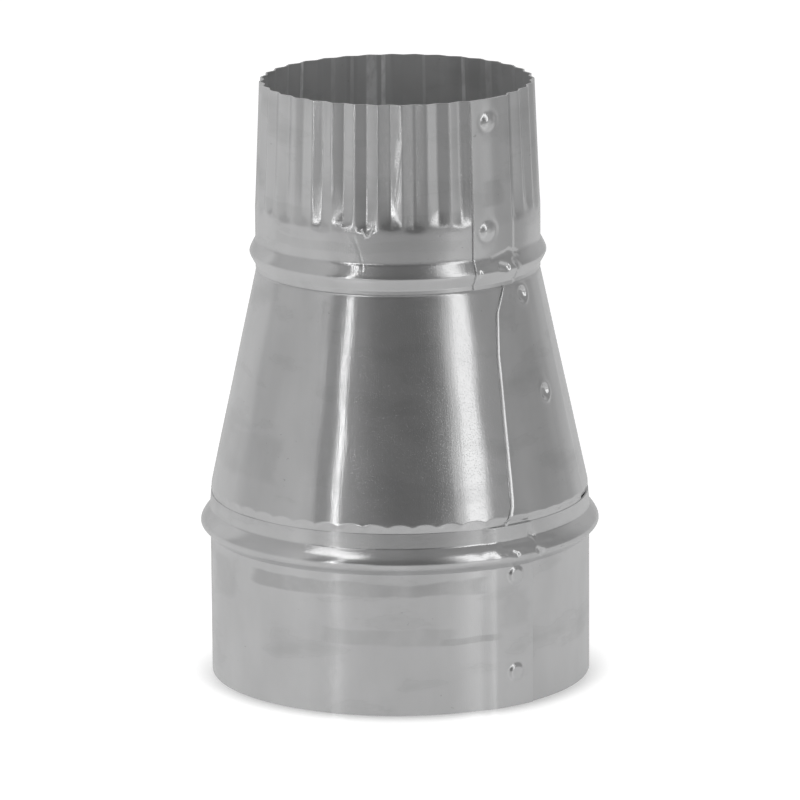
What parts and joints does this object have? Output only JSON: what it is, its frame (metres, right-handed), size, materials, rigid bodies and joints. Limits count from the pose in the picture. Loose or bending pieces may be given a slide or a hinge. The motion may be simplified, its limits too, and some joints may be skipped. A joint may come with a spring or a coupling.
{
  "type": "duct reducer",
  "caption": "Round sheet-metal duct reducer: a plain collar, a straight cone and a smaller crimped collar, each rolled and lapped, with a rolled bead on both collars.",
  "frame": {"origin": "centre of the large collar's open rim, on the duct axis, in the plane that it stands on", "axes": "+Z along the duct axis from the large end up to the small crimped end, -Y the front, with the lapped seams to its right"},
  "size_m": [0.1082, 0.1082, 0.1628],
  "materials": {
    "bright_sheet": "bright galvanised sheet steel, smooth, with fine rolling grain and faint forming marks"
  },
  "bodies": {
    "root": {"large_collar": "bright_sheet", "cone": "bright_sheet", "small_collar": "bright_sheet"}
  },
  "joints": []
}
